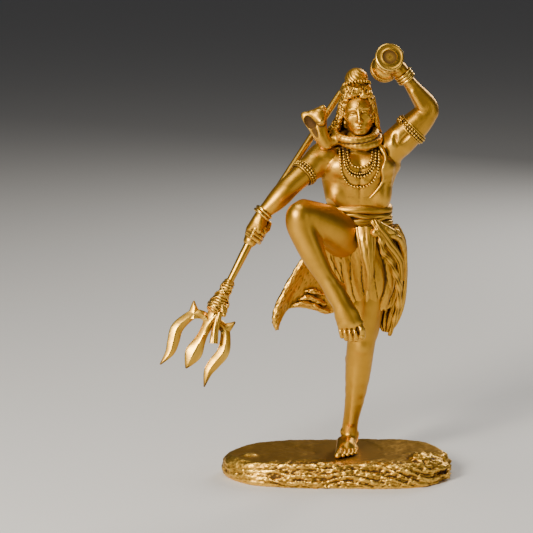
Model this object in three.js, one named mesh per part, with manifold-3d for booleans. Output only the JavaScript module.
// A dancing trident bearer on a rock, cast in brass in separate pieces that are pinned and brazed together.
// Millimetres, +Z up. The figure faces -Y, and the origin is on the rock's flat underside, at its middle.
// "Right" and "left" in the names are the figure's own right and left, so its right arm is on the -X side.
import * as THREE from "three";
import { mergeVertices } from "three/addons/utils/BufferGeometryUtils.js";
import Module from "manifold-3d";

const wasm = await Module();
wasm.setup();

// Driving dimensions.
const GAP = 0.35; // clearance left between neighbouring pieces
const ROCK = { height: 16.5, middleY: -9 };
const ROCK_OUTLINE = [[88, -10], [84, 8], [74, 20], [56, 27], [30, 29], [5, 30], [-20, 29], [-42, 27], [-62, 21],
  [-78, 9], [-88, -6], [-85, -20], [-76, -31], [-63, -40], [-40, -44], [-12, -46.5], [18, -47.5], [46, -47],
  [68, -42], [80, -30]];
const ROCK_LAYERS = [[0, 0.975, 0.98], [0.22, 1, 1], [0.45, 0.975, 0.93], [0.62, 0.99, 0.92], [0.85, 0.965, 0.83],
  [1, 0.93, 0.76]]; // height, reach all round, reach along the front

const BOLT = { x: 10.5, y: 3, shank: 2.5, top: 31, headAcross: 8, headHeight: 3.5 };
const COUNTERBORE = { radius: 7, depth: 8 };
const WASHER = { radius: 5.5, thickness: 1.2 };
const DRUM = { x: 34.6, y: -4, z: 311.6, halfLength: 12.2, rim: 10.1, waist: 4.3 };
const DRUM_SKIN = { thickness: 1.2, dishRadius: 5.2, dishDepth: 0.7 };
const SHAFT = { radius: 3.2, neck: 2.7, from: -5.5, to: 64 };
const SOCKET = { radius: 3.7, from: -6.2, to: 30 };
const FORK = { hub: 74, shoulder: 12, spread: 18, tip: 119, midTip: 113 };

// The trident's own frame: +Z runs from the fist to the points, and +X spreads the prongs.
const GRIP = new THREE.Vector3(-61.5, -20, 190);
const TRIDENT_POINT = new THREE.Vector3(-112, -52, 94);
// The drum's own frame: +Z is its axis, towards the skin that faces forward and up.
const DRUM_AXIS = new THREE.Vector3(0.1, -0.9, 0.43);

// Materials.
const brass = (color, roughness) => new THREE.MeshStandardMaterial({ color, roughness, metalness: 1 });
const antique = brass(0xc9993a, 0.34);
const polished = brass(0xd6a945, 0.26);
const rocky = brass(0xa8792b, 0.5);
const steel = new THREE.MeshStandardMaterial({ color: 0x9a9c9f, roughness: 0.35, metalness: 1 });

// ---- Solids ----

function solid(geometry) {
  const bare = geometry.clone();
  bare.deleteAttribute("normal");
  bare.deleteAttribute("uv");
  const merged = mergeVertices(bare, 1e-4);
  const vertProperties = merged.attributes.position.array;
  const triVerts = new Uint32Array(merged.index.array);
  return new wasm.Manifold(new wasm.Mesh({ numProp: 3, vertProperties, triVerts }));
}

// The biggest body that a cut leaves, so that no loose crumb stays in the piece.
function largest(cutSolid) {
  return cutSolid.decompose().reduce((a, b) => (b.volume() > a.volume() ? b : a));
}

const join = (...parts) => parts.reduce((a, b) => a.add(b));
const cut = (part, ...tools) => largest(tools.reduce((a, b) => a.subtract(b), part));

function piece(name, shape, material, group) {
  const made = shape.getMesh();
  const geometry = new THREE.BufferGeometry();
  geometry.setAttribute("position", new THREE.BufferAttribute(made.vertProperties, 3));
  geometry.setIndex(new THREE.BufferAttribute(made.triVerts, 1));
  geometry.computeVertexNormals();
  const mesh = new THREE.Mesh(geometry, material);
  mesh.name = name;
  group.add(mesh);
}

// A closed form whose section is an ellipse. Each station is [x, y, z, half width, half depth];
// side is the direction in which the width is laid, and grow swells the form for cutting a neighbour.
function loft(stations, { around = 10, steps = 7, side = [1, 0, 0], grow = 0 } = {}) {
  const line = new THREE.CatmullRomCurve3(stations.map((s) => new THREE.Vector3(s[0], s[1], s[2])));
  const sizes = new THREE.CatmullRomCurve3(stations.map((s) => new THREE.Vector3(s[3], s[4], 0)));
  line.curveType = sizes.curveType = "catmullrom";
  const geometry = new THREE.CylinderGeometry(1, 1, 1, around, steps);
  const position = geometry.attributes.position;
  const wanted = new THREE.Vector3(...side);
  for (let i = 0; i < position.count; i++) {
    const t = 0.5 - 0.5 * Math.cos(Math.PI * (position.getY(i) + 0.5));
    const along = line.getTangent(t);
    const wide = wanted.clone().addScaledVector(along, -wanted.dot(along)).normalize();
    const deep = wide.clone().cross(along);
    const size = sizes.getPoint(t);
    const point = line.getPoint(t);
    point.addScaledVector(wide, position.getX(i) * (Math.max(size.x, 0.4) + grow));
    point.addScaledVector(deep, position.getZ(i) * (Math.max(size.y, 0.4) + grow));
    if (t === 0 || t === 1) point.addScaledVector(along, (t ? 1 : -1) * grow);
    position.setXYZ(i, point.x, point.y, point.z);
  }
  return solid(geometry);
}

// A round cord of one radius through the points.
const cord = (points, radius, options = {}) =>
  loft(points.map((p) => [...p, radius, radius]), { around: 6, ...options });

// A ring about a centre, whose axis is the given direction; widen turns it into a broad band.
function ring(centre, axis, radius, thickness, { grow = 0, around = 16, flatten = 1, widen = 1 } = {}) {
  const geometry = new THREE.TorusGeometry(radius, thickness + grow, 6, around).scale(1, flatten, widen);
  const turn = new THREE.Quaternion().setFromUnitVectors(
    new THREE.Vector3(0, 0, 1), new THREE.Vector3(...axis).normalize());
  return solid(geometry.applyQuaternion(turn).translate(...centre));
}

// A cylinder along Z from one height to another.
function post(radius, from, to, { x = 0, y = 0, around = 16 } = {}) {
  const geometry = new THREE.CylinderGeometry(radius, radius, to - from, around);
  return solid(geometry.rotateX(Math.PI / 2).translate(x, y, (from + to) / 2));
}

const moved = (shape, matrix) => shape.transform(matrix.elements);

// ---- Frames of the trident and the drum ----

function tridentFrame() {
  const down = TRIDENT_POINT.clone().sub(GRIP).normalize();
  const spread = new THREE.Vector3(-down.z, 0, down.x).normalize();
  return new THREE.Matrix4().makeBasis(spread, down.clone().cross(spread), down).setPosition(GRIP);
}

function drumFrame() {
  const turn = new THREE.Quaternion().setFromUnitVectors(
    new THREE.Vector3(0, 0, 1), DRUM_AXIS.clone().normalize());
  return new THREE.Matrix4().makeRotationFromQuaternion(turn).setPosition(DRUM.x, DRUM.y, DRUM.z);
}

const tridentPlace = tridentFrame();
const drumPlace = drumFrame();

// ---- The figure ----

const TORSO = [
  [17, 4, 158, 11, 9], [17, 3, 166, 20, 14], [16.5, 3, 180, 24.5, 15.5], [15.5, 3, 194, 23.6, 15],
  [15, 2.5, 206, 22, 13.6], [14.4, 2, 216, 25, 14.4], [14.6, 1.5, 227, 28.7, 16],
  [16, 1.5, 237, 29.3, 16.3], [17, 2.5, 245, 24, 13.5], [16, 3, 251, 16, 9.5], [15.4, 3, 254.5, 9.5, 7.5],
];
const torso = (grow = 0) => loft(TORSO, { around: 16, steps: 11, grow });

// A point that lies on the chest's front at a width and height, with its middle lifted clear of it.
function onChest(x, z, lift) {
  const next = TORSO.findIndex((s) => s[2] >= z);
  const [low, high] = [TORSO[next - 1], TORSO[next]];
  const mix = low.map((v, i) => v + ((high[i] - v) * (z - low[2])) / (high[2] - low[2]));
  const across = Math.min(1, Math.abs(x - mix[0]) / mix[3]);
  return [x, mix[1] - mix[4] * Math.sqrt(1 - across * across) - lift, z];
}

const head = (grow = 0) => join(
  loft([[15.3, 3, 251, 8.6, 7.6], [15.2, 2.5, 257, 8, 7.8], [15, 1.5, 264, 7.6, 7.6], [14.8, 1, 270, 6, 6]],
    { steps: 6, grow }),
  loft([[15.1, 3, 263.5, 5, 6], [14.8, 1, 268, 9.6, 11.5], [14.4, 0.5, 276, 10.8, 13],
    [14, 0.5, 284, 10.2, 12.5], [13.6, 0.8, 290, 6.8, 8.6], [13.4, 1, 292.5, 2.5, 3.5]], { grow }),
  loft([[15.9, -7, 259.5, 2.6, 3], [15.7, -6, 262.5, 5.8, 5.8], [15.3, -4.2, 268, 8.9, 8.4],
    [14.8, -3, 276, 9.7, 9.8], [14.3, -2.2, 284, 9, 9.4], [14, -1, 289, 4.5, 5.5]], { grow }),
  loft([[14.7, -11.5, 278.5, 0.9, 1], [15, -13.6, 272.5, 1.7, 1.7], [15.2, -12.8, 269.4, 1.7, 1.2]],
    { around: 8, steps: 4, grow }));

const hairCap = (grow = 0) => loft([[14.4, 5.5, 263, 10.5, 8], [14.3, 4, 270, 12.6, 12], [14.1, 3, 278, 13.4, 13.6],
  [13.9, 2.4, 286, 13, 13.4], [13.6, 2.4, 292, 11.2, 11.4], [13.2, 2.8, 296, 8.8, 9], [13, 3, 297.4, 5, 5]],
  { around: 14, grow });
const topknot = (grow = 0) => loft([[13, 3.2, 291.5, 8, 8], [13, 3.4, 296, 8.6, 8.6], [12.9, 3.6, 300, 8.5, 8.5],
  [12.8, 3.9, 304, 6.6, 6.6], [12.7, 4, 306.6, 3.6, 3.6], [12.6, 4, 307.5, 1.4, 1.4]], { steps: 7, grow });
const topknotBeads = (grow = 0) => ring([13, 2.4, 295.4], [-0.1, 0.34, 1], 9.9, 1, { grow });

const hairBack = () => loft([[14, 12.5, 291, 7, 3], [14.3, 15, 280, 12.5, 4], [15, 16.5, 266, 14, 4.6],
  [15.6, 18.5, 252, 14.5, 4.6], [16, 20.5, 239, 11.5, 4], [16, 21, 228, 6, 2.8], [16, 20.5, 222, 2, 1.4]], {});
const hairLockRight = () => loft([[2.6, 2, 284, 1.8, 4], [0.4, 2.5, 274, 2.8, 6], [-2, 3.5, 265, 3.6, 6],
  [-5.5, 6.5, 258.5, 3.6, 5], [-9, 10, 253.5, 2, 2.6]], { around: 8, side: [0.8, 0, 0.6] });
const hairLockLeft = () => loft([[26.4, 2, 284, 1.8, 4], [28.8, 3, 272, 2.4, 5.6], [31.5, 6, 259, 2.8, 5],
  [35.5, 12, 250, 2.6, 4], [38.5, 16, 241, 1.4, 2.2]], { around: 8, side: [1, 0, 0.2] });

const rightArm = (grow = 0) => loft([[-4, 3, 244.5, 7.5, 8], [-10.5, 1.5, 243, 10, 10.4],
  [-18, -4, 237.5, 9.6, 9.6], [-25.5, -9.5, 231.5, 8.2, 8.2], [-32, -14, 226, 7.3, 7.3],
  [-37.5, -17.5, 221.3, 7.5, 7.3], [-43, -19.6, 215.6, 7.6, 7], [-49, -21, 209.7, 6.2, 5.7],
  [-54.2, -21.8, 205, 4.6, 4.3], [-56.6, -22.1, 202.6, 4.3, 4.1]], { steps: 9, grow });
const rightHand = (grow = 0) => join(
  loft([[-56.9, -22.2, 202, 4.2, 4], [-58.6, -22.3, 198, 5.4, 4.8], [-60.6, -21.6, 192, 7.7, 7],
    [-62, -21.4, 186, 7.8, 7], [-63.2, -21.6, 181.5, 5, 4.8]], { grow }),
  loft([[-54.4, -20, 187, 3, 4.5], [-55.8, -21, 183, 3, 5], [-58, -22.5, 181, 2.4, 4]],
    { around: 10, steps: 5, grow }));
const leftUpperArm = [[32, 3, 242, 9.5, 10], [39.5, 3, 248.5, 11.3, 11], [47, 3, 255.5, 11.3, 10.6],
  [54, 3, 262.5, 10.8, 10], [60.5, 2.5, 269.3, 9.3, 8.8], [66, 2, 275.2, 7.6, 7.3], [69, 2, 278.6, 4.6, 4.6]];
const leftForearm = [[69.4, 2, 272.6, 4.6, 4.6], [66.6, 2, 277, 7.2, 7.2], [63, 1.5, 282, 7.5, 7.1],
  [58, 0.5, 288.7, 6.4, 6], [52.7, -1, 295.7, 4.8, 4.5], [49.4, -1.8, 299.9, 4.2, 3.9]];
const leftArm = (grow = 0) => join(loft(leftUpperArm, { grow }), loft(leftForearm, { grow }));
const leftHand = (grow = 0) => loft([[48.9, -2, 300.5, 4.1, 3.8], [46, -2.2, 304, 5.2, 4.3],
  [42.5, -2.6, 308.2, 5.6, 4.8], [39, -3, 312, 4.8, 4.6], [36, -3.2, 315, 3, 3.4]], { steps: 8, grow });

const standingLeg = (grow = 0) => join(
  loft([[26, 3, 174, 13, 13.5], [25.4, 2, 160, 14.5, 15], [23, 0, 142, 13.4, 14], [20.5, -2.5, 120, 11.8, 12.2],
    [18.5, -3.5, 104, 11, 10.6], [17.6, -3, 95, 10.8, 10.2], [16.6, 0, 82, 10.8, 10.8],
    [15.6, 1.5, 70, 10.2, 10.8], [13.8, 2.5, 54, 8, 8.6], [11.4, 3, 40, 6.2, 6.4], [10.3, 3, 32, 5.8, 6.4],
    [10.3, 3, 24, 6, 7]], { steps: 10, grow }),
  loft([[12.2, 12.5, 21, 3.4, 3.4], [11.6, 8, 21.5, 5.6, 5.6], [10.2, -2, 23, 6.6, 6.8],
    [8.7, -11, 20.5, 7.8, 5], [7.4, -20, 18.6, 8.8, 3.6], [6.8, -26.5, 18, 7.8, 2.6]], { steps: 6, grow }));
const raisedLeg = (grow = 0) => join(
  loft([[9, 3, 176, 12.5, 12.5], [2, -8, 184.5, 14.8, 14.8], [-6, -18.5, 192, 14.6, 14.8],
    [-14.5, -28, 198.8, 13, 13.4], [-22.5, -36.5, 204, 11.8, 11.6], [-28.4, -42.3, 205.6, 9.4, 9.4],
    [-31, -45.6, 206.4, 4.8, 4.8]], { grow }),
  loft([[-27.8, -41.5, 213.5, 5, 5], [-29.6, -42.3, 206, 9.9, 9.4], [-28.8, -43, 197.5, 9.8, 9.4],
    [-24.2, -42.8, 187, 9.2, 9], [-19.8, -42, 177, 8.5, 8.6], [-14.2, -41, 166, 7.2, 7.8],
    [-9, -39.8, 157.5, 6.4, 6.8], [-4.6, -38.8, 150.6, 6.6, 6.6], [-1.6, -39, 144, 6.8, 6]],
    { steps: 7, grow }),
  loft([[-5.8, -29.5, 146.4, 3, 3], [-4.6, -33, 146.2, 5.2, 5.6], [-1.2, -38.5, 143, 7.2, 6.2],
    [3.4, -42.5, 135, 8.6, 5], [7, -44.8, 127, 9.6, 4], [9, -46, 120, 9.6, 3.2], [9.8, -46.6, 116, 8, 2.4],
    [10.2, -46.8, 112.6, 5, 1.6]], { steps: 6, side: [1, 0, 0.12], grow }));

// ---- What the figure wears ----

const waistSash = (grow = 0) => loft([[15.5, 2.8, 187.6, 25.2, 16.6], [15.4, 2.8, 192, 26.6, 17.8],
  [15.3, 2.7, 200, 26.2, 17.4], [15.2, 2.6, 205, 25, 16.4], [15.1, 2.5, 207.6, 23.6, 15.2]],
  { around: 16, steps: 4, grow });
const tigerSkinWrap = (grow = 0) => loft([[16, 3, 190.6, 24.4, 16.2], [17, 3.5, 181, 29, 19.6],
  [19, 4, 168, 30.6, 20.8], [21, 4, 155, 29.2, 20.2], [23, 3.5, 143, 26, 18.8], [24, 3, 133, 20.5, 16.6],
  [24, 2.6, 127, 16.6, 14.6]], { around: 16, steps: 5, grow });
const pawFlap = () => loft([[19, -19.5, 187.5, 8.6, 1.8], [19.8, -22, 178, 8, 2.2], [21.3, -24, 165, 6.4, 2.6],
  [22.3, -24.6, 152, 3.8, 2.3], [21.8, -24.6, 144, 2, 1.4], [21.6, -24.4, 140.5, 1, 0.9]],
  { around: 8, steps: 6 });
const sideDrape = () => loft([[42, 4, 188, 4, 6], [45.5, 4.6, 178, 6, 8.5], [46.6, 5.6, 162, 6.4, 9.5],
  [45, 6.6, 145, 7.8, 8.6], [42, 6.6, 128, 8.6, 6.6], [38.6, 5.6, 114, 7, 4], [37.4, 5, 107, 3.4, 2]], {});
const sashKnot = (grow = 0) => loft([[23.4, -18.6, 189, 1.6, 1.8], [25.4, -20.4, 188.6, 3.4, 2.8],
  [28.2, -20.2, 187.6, 3, 2.6], [29.8, -18.8, 187, 1.4, 1.6]], { around: 8, steps: 4, side: [0, 0, 1], grow });
const sashEndShort = (grow = 0) => loft([[31.4, -20.6, 183.6, 2.2, 1.2], [36, -20.2, 177, 2.6, 1.3],
  [42.5, -17, 169.5, 2.6, 1.3], [48, -12, 162.6, 2.4, 1.3], [50, -9.6, 153, 2, 1.2], [50, -9, 148, 1.4, 0.9]],
  { around: 6, steps: 8, side: [0.6, 0.2, 0.8], grow });
const sashEndLong = () => loft([[29, -22.4, 183, 1.8, 1.1], [33, -23, 175, 2, 1.2], [39, -21, 166.5, 1.9, 1.2],
  [45, -16, 157, 2, 1.2], [48.6, -10.4, 144, 2.2, 1.3], [49, -7, 130, 2, 1.2], [45.8, -4, 117, 1.7, 1.1],
  [41.4, -2.4, 106.4, 1.5, 1]], { around: 6, steps: 12, side: [0.8, 0.2, 0.5] });

// The skin's loose side swings out behind the raised leg: a thin sheet with a rolled outer edge.
function tigerSkinFlare() {
  const outline = new THREE.Shape();
  outline.moveTo(6, 180);
  outline.quadraticCurveTo(-10, 184, -20, 171);
  outline.splineThru([[-30, 156], [-39, 141], [-46.5, 127], [-48.4, 118], [-46.6, 110.6]]
    .map((p) => new THREE.Vector2(...p)));
  outline.lineTo(-44, 111.6);
  outline.splineThru([[-41.5, 121], [-37.5, 125.4], [-28, 125.6], [-18, 123], [-8, 119.5], [2, 121]]
    .map((p) => new THREE.Vector2(...p)));
  outline.lineTo(6, 180);
  const sheet = new THREE.ExtrudeGeometry(outline, { depth: 2.6, bevelEnabled: false, curveSegments: 4 });
  sheet.rotateX(Math.PI / 2).rotateZ(0.2).translate(0, 14.5, 0);
  const roll = loft([[-17, 8.2, 173.5, 1.6, 1.6], [-29, 5.8, 156, 2, 2.4], [-38.6, 2.6, 140.5, 2.2, 3.2],
    [-45.8, -0.6, 126.5, 2.4, 4], [-47, -2.4, 117.5, 2.4, 3.4], [-45.6, -3, 110.8, 1.4, 1.6]], { around: 8 });
  return join(solid(sheet), roll);
}

// A string of prayer beads hangs from one side of the neck to the other, down to its own depth.
function mala(left, right, bottom, lift) {
  const middle = (left[0] + right[0]) / 2;
  const half = (right[0] - left[0]) / 2;
  const top = (left[1] + right[1]) / 2;
  const drop = [0, 0.5, 0.82, 0.97, 1, 0.97, 0.82, 0.5, 0];
  const wide = [-1, -0.94, -0.72, -0.38, 0, 0.38, 0.72, 0.94, 1];
  const points = drop.map((d, i) => onChest(middle + half * wide[i], top - (top - bottom) * d, lift));
  return cord(points, 1, { around: 5, steps: 16, side: [0, 1, 0] });
}

const coil = (centre, tilt, radius, thickness, grow) =>
  ring(centre, [0, tilt, 1], radius, thickness, { grow, flatten: 0.92 });
const cobra = (grow = 0) => join(
  coil([12.2, -2, 260.4], -0.34, 14.8, 2.9, grow),
  coil([15.4, -2.4, 256.2], -0.34, 14.2, 3, grow),
  loft([[1.2, -5.6, 257.4, 3, 3], [-2.6, -7, 255.6, 3.4, 3.4], [-8, -8.6, 252.8, 4.6, 4.6], [-12.6, -10.6, 255.8, 6, 5],
    [-15.2, -11, 262, 6.8, 4.2], [-17.2, -10, 268.4, 8.4, 3.2], [-18.8, -8.6, 274, 9.4, 2.6],
    [-19.2, -7.6, 276.6, 7.6, 2]], { side: [0.95, 0, 0.3], grow }),
  loft([[-12.4, -4.4, 276.4, 2.4, 2.2], [-12.6, -8.4, 276, 4.2, 3.2], [-13, -13, 272.6, 3.6, 2.6],
    [-13.2, -15.6, 269.6, 1.4, 1.2]], { around: 8, steps: 5, grow }),
  cord([[27.2, -7, 255], ...[[31.5, 249], [34.2, 242], [31.8, 234.5], [32.2, 226], [28.4, 219.6], [23, 213.4]]
    .map(([x, z]) => onChest(x, z, 1.5 + GAP))], 1.3, { steps: 12, side: [0, 1, 0], grow }));

// ---- The rock and its fixing ----

// Layered rock: a slab whose uneven outline draws in towards the top, most of all along the front.
function rockBody() {
  const outline = new THREE.CatmullRomCurve3(ROCK_OUTLINE.map(([x, y]) => new THREE.Vector3(x, y, 0)), true);
  const geometry = new THREE.CylinderGeometry(1, 1, 1, 36, ROCK_LAYERS.length - 1);
  const position = geometry.attributes.position;
  for (let i = 0; i < position.count; i++) {
    const [x, y] = [position.getX(i), -position.getZ(i)];
    const level = Math.round((position.getY(i) + 0.5) * (ROCK_LAYERS.length - 1));
    const [height, reach, frontReach] = ROCK_LAYERS[level];
    const point = new THREE.Vector3(0, ROCK.middleY, 0);
    if (Math.hypot(x, y) > 0.5) outline.getPointAt((Math.atan2(y, x) / (2 * Math.PI) + 1) % 1, point);
    const inY = point.y - ROCK.middleY;
    position.setXYZ(i, point.x * reach, ROCK.middleY + inY * (inY < 0 ? frontReach : reach), height * ROCK.height);
  }
  return geometry;
}

const boulder = (x, y, z, w, d, h) => solid(new THREE.IcosahedronGeometry(1, 1).scale(w, d, h).translate(x, y, z));

const rock = () => cut(
  join(solid(rockBody()), boulder(62, -24, 14, 13, 10, 7.5), boulder(-66, -16, 14, 10, 8, 5)),
  post(COUNTERBORE.radius, -1, COUNTERBORE.depth, BOLT),
  post(BOLT.shank + GAP, -1, ROCK.height + 20, BOLT));

function fixingBolt() {
  const headTop = COUNTERBORE.depth - GAP - WASHER.thickness - GAP;
  return join(
    post(BOLT.headAcross / Math.sqrt(3), headTop - BOLT.headHeight, headTop, { ...BOLT, around: 6 }),
    post(BOLT.shank, headTop - 1, BOLT.top, BOLT));
}

function fixingWasher() {
  const top = COUNTERBORE.depth - GAP;
  return cut(post(WASHER.radius, top - WASHER.thickness, top, BOLT), post(BOLT.shank + GAP, 0, 20, BOLT));
}

// ---- The drum, in its own frame ----

function turned(points, around = 16) {
  const profile = points.map((p) => new THREE.Vector2(...p));
  return solid(new THREE.LatheGeometry(profile, around).rotateX(Math.PI / 2));
}

const drumBody = (grow = 0) => {
  const { halfLength: h, rim, waist } = DRUM;
  return turned([[0, -h - grow], [rim + grow, -h - grow], [rim + grow, -h * 0.72], [rim * 0.84 + grow, -h * 0.44],
    [waist + grow, -1.6], [waist + grow, 1.6], [rim * 0.84 + grow, h * 0.44], [rim + grow, h * 0.72], [rim + grow, h + grow],
    [0, h + grow]]);
};

function drumSkin(face) {
  const { thickness, dishRadius, dishDepth } = DRUM_SKIN;
  const inner = DRUM.halfLength + GAP;
  const outer = inner + thickness;
  const shape = turned([[0, inner], [DRUM.rim - 0.4, inner], [DRUM.rim + 0.3, inner + 0.3],
    [DRUM.rim - 0.2, outer], [dishRadius, outer], [dishRadius - 0.4, outer - dishDepth], [0, outer - dishDepth]]);
  return face > 0 ? shape : shape.rotate([180, 0, 0]);
}

const drumCord = (grow = 0) => turned([[DRUM.waist + GAP, -1 - grow], [DRUM.waist + 1.6 + grow, -1 - grow],
  [DRUM.waist + 2 + grow, 0], [DRUM.waist + 1.6 + grow, 1 + grow], [DRUM.waist + GAP, 1 + grow],
  [DRUM.waist + GAP, -1 - grow]]);

// ---- The trident, in its own frame ----

const tridentShaft = () => turned([[0, SHAFT.from], [SHAFT.radius, SHAFT.from], [SHAFT.radius, 20],
  [SHAFT.neck, 38], [SHAFT.neck, SHAFT.to], [0, SHAFT.to]]);
const tridentBinding = (grow = 0) => turned([[SHAFT.neck + GAP, 41], [3.9 + grow, 41 - grow], [4.4 + grow, 44],
  [4.2 + grow, 50], [5.6 + grow, 56], [7 + grow, 63], [6.2 + grow, 68 + grow], [0, 68 + grow],
  [0, SHAFT.to + GAP], [SHAFT.neck + GAP, SHAFT.to + GAP], [SHAFT.neck + GAP, 41]]);

function prong(hand) {
  const { hub, shoulder, spread, tip } = FORK;
  const flat = { around: 6, side: [1, 0, 0] };
  return join(
    loft([[hand * 1, 0, hub + 1, 3, 2.4], [hand * 6, 0, hub - 1.5, 3, 2.3], [hand * shoulder, 0, hub - 0.5, 3, 2.2],
      [hand * 15.6, 0, hub + 4, 3.2, 2.2]], { ...flat, steps: 6, side: [0, 0, 1] }),
    loft([[hand * shoulder, 0, hub, 3.2, 2.2], [hand * 15.8, 0, hub + 7, 3.6, 2.2],
      [hand * (spread + 1), 0, hub + 17, 4.2, 2.3], [hand * 16.4, 0, hub + 27, 3.9, 2.1],
      [hand * 15.6, 0, hub + 34, 3, 1.8], [hand * spread, 0, tip, 0.7, 0.6]], flat),
    loft([[hand * (shoulder - 1), 0, hub + 2, 2.8, 2], [hand * 14.4, 0, hub - 2.6, 2.2, 1.8],
      [hand * 17, 0, hub - 7, 0.8, 0.7]], { ...flat, steps: 5 }));
}

const tridentHead = () => join(
  loft([[0, 0, 68 + GAP, 4, 3], [0, 0, 74, 4.2, 3], [0, 0, 84, 3.2, 2.4], [0, 0, 96, 3.4, 2.4],
    [0, 0, 104, 6.4, 2.6], [0, 0, FORK.midTip, 0.8, 0.7]], { around: 8 }),
  prong(-1), prong(1));

const tridentTie = () => join(
  loft([[3, 6.4, 60, 1.6, 1.4], [5.4, 6.6, 63, 2.8, 2.2], [6, 6, 67, 2.2, 2]], { around: 10, steps: 5 }),
  loft([[2.6, 6.6, 63, 1.8, 1.5], [3.2, 6.2, 70, 1.9, 1.6], [6, 6, 79, 2, 1.8], [9, 6, 87.5, 2.3, 2.1]],
    { around: 10, steps: 7 }));

// ---- Assembly ----

const statue = new THREE.Group();
const inTrident = new THREE.Group();
const onDrum = new THREE.Group();
inTrident.applyMatrix4(tridentPlace);
onDrum.applyMatrix4(drumPlace);
statue.add(inTrident, onDrum);

const ground = new THREE.BoxGeometry(400, 400, 40).translate(0, 0, ROCK.height + GAP - 20);
const boltHole = post(BOLT.shank + GAP, 0, BOLT.top + 1, BOLT);
const rightBangle = (grow = 0) =>
  ring([-55.9, -22.1, 203.4], [-0.66, -0.2, -0.72], 5.9, 1.5, { grow, widen: 1.7 });
const leftBangle = ring([47.9, -2.2, 301.9], [-0.6, -0.18, 0.78], 5.8, 1.5, { widen: 2.1 });
const rightArmband = ring([-25.2, -9.3, 231.7], [-0.65, -0.46, -0.55], 9.5, 1.5, { widen: 2 });
const leftArmband = ring([53.6, 3, 262.1], [0.7, 0, 0.71], 11.8, 1.5, { widen: 2.1 });
const upperStaff = cord([[2.6, 28, 287], [-20, 12.5, 255], [-40, -1, 226], [-60.4, -14.4, 196]], 2.6,
  { around: 10, steps: 6 });
const socket = moved(post(SOCKET.radius, SOCKET.from, SOCKET.to, {}), tridentPlace);
const drumInPlace = (grow) => moved(join(drumBody(grow), drumCord(grow)), drumPlace);

piece("rock_base", rock(), rocky, statue);
piece("fixing_bolt", fixingBolt(), steel, statue);
piece("fixing_washer", fixingWasher(), steel, statue);
piece("torso", torso(), antique, statue);
piece("standing_leg", cut(standingLeg(), torso(GAP), solid(ground), boltHole), antique, statue);
piece("raised_leg", cut(raisedLeg(), torso(GAP), standingLeg(GAP)), antique, statue);
piece("head", cut(head(), torso(GAP)), antique, statue);
piece("hair_cap", cut(hairCap(), head(GAP)), antique, statue);
piece("topknot", cut(topknot(), hairCap(GAP)), antique, statue);
piece("topknot_beads", cut(topknotBeads(), hairCap(GAP), topknot(GAP)), polished, statue);
piece("right_arm", cut(rightArm(), torso(GAP), rightHand(GAP)), antique, statue);
piece("right_hand", cut(rightHand(), socket), antique, statue);
piece("left_arm", cut(leftArm(), torso(GAP), leftHand(GAP)), antique, statue);
piece("left_hand", cut(leftHand(), drumInPlace(GAP)), antique, statue);
piece("right_armband", cut(rightArmband, rightArm(GAP)), polished, statue);
piece("left_armband", cut(leftArmband, leftArm(GAP)), polished, statue);
piece("right_bangle", cut(rightBangle(), rightArm(GAP), rightHand(GAP)), polished, statue);
piece("left_bangle", cut(leftBangle, leftArm(GAP), leftHand(GAP)), polished, statue);
piece("cobra", cut(cobra(), head(GAP), torso(GAP), rightArm(GAP), leftArm(GAP), hairCap(GAP)), antique, statue);
const worn = [head(GAP), hairCap(GAP), torso(GAP), cobra(GAP), rightArm(GAP), leftArm(GAP)];
piece("hair_back", cut(hairBack(), ...worn, topknotBeads(GAP)), antique, statue);
piece("hair_lock_right", cut(hairLockRight(), ...worn), antique, statue);
piece("hair_lock_left", cut(hairLockLeft(), ...worn), antique, statue);
piece("mala_inner", cut(mala([5.4, 249], [24.4, 248.4], 236, 1.5), cobra(GAP), torso(GAP)), polished, statue);
piece("mala_middle", cut(mala([2.6, 248], [26.6, 247.6], 228.8, 1.5), cobra(GAP), torso(GAP)), polished, statue);
piece("mala_outer", cut(mala([-0.2, 247], [29, 246.6], 221, 1.5), cobra(GAP), torso(GAP)), polished, statue);
piece("waist_sash", cut(waistSash(), torso(GAP), raisedLeg(GAP)), antique, statue);
const hips = [torso(GAP), standingLeg(GAP), raisedLeg(GAP), waistSash(GAP)];
piece("tiger_skin_wrap", cut(tigerSkinWrap(), ...hips), antique, statue);
piece("tiger_skin_flare", cut(tigerSkinFlare(), ...hips, tigerSkinWrap(GAP)), antique, statue);
piece("tiger_paw_flap", cut(pawFlap(), ...hips, tigerSkinWrap(GAP), sashKnot(GAP)), antique, statue);
piece("side_drape", cut(sideDrape(), ...hips, tigerSkinWrap(GAP)), antique, statue);
piece("sash_knot", cut(sashKnot(), ...hips, tigerSkinWrap(GAP)), antique, statue);
piece("sash_end_short", cut(sashEndShort(), ...hips, tigerSkinWrap(GAP), sashKnot(GAP)), antique, statue);
piece("sash_end_long",
  cut(sashEndLong(), ...hips, tigerSkinWrap(GAP), sashKnot(GAP), sashEndShort(GAP)), antique, statue);
piece("upper_staff", cut(upperStaff, rightHand(GAP), rightArm(GAP), rightBangle(GAP), cobra(GAP)), polished, statue);

piece("drum_body", drumBody(), polished, onDrum);
piece("drum_skin_front", drumSkin(1), polished, onDrum);
piece("drum_skin_back", drumSkin(-1), polished, onDrum);
piece("drum_waist_cord", drumCord(), polished, onDrum);

piece("trident_shaft", tridentShaft(), polished, inTrident);
piece("trident_binding", tridentBinding(), polished, inTrident);
piece("trident_head", tridentHead(), polished, inTrident);
piece("trident_tie", cut(tridentTie(), tridentBinding(GAP), tridentHead().scale([1.02, 1.3, 1])), polished, inTrident);

export default statue;
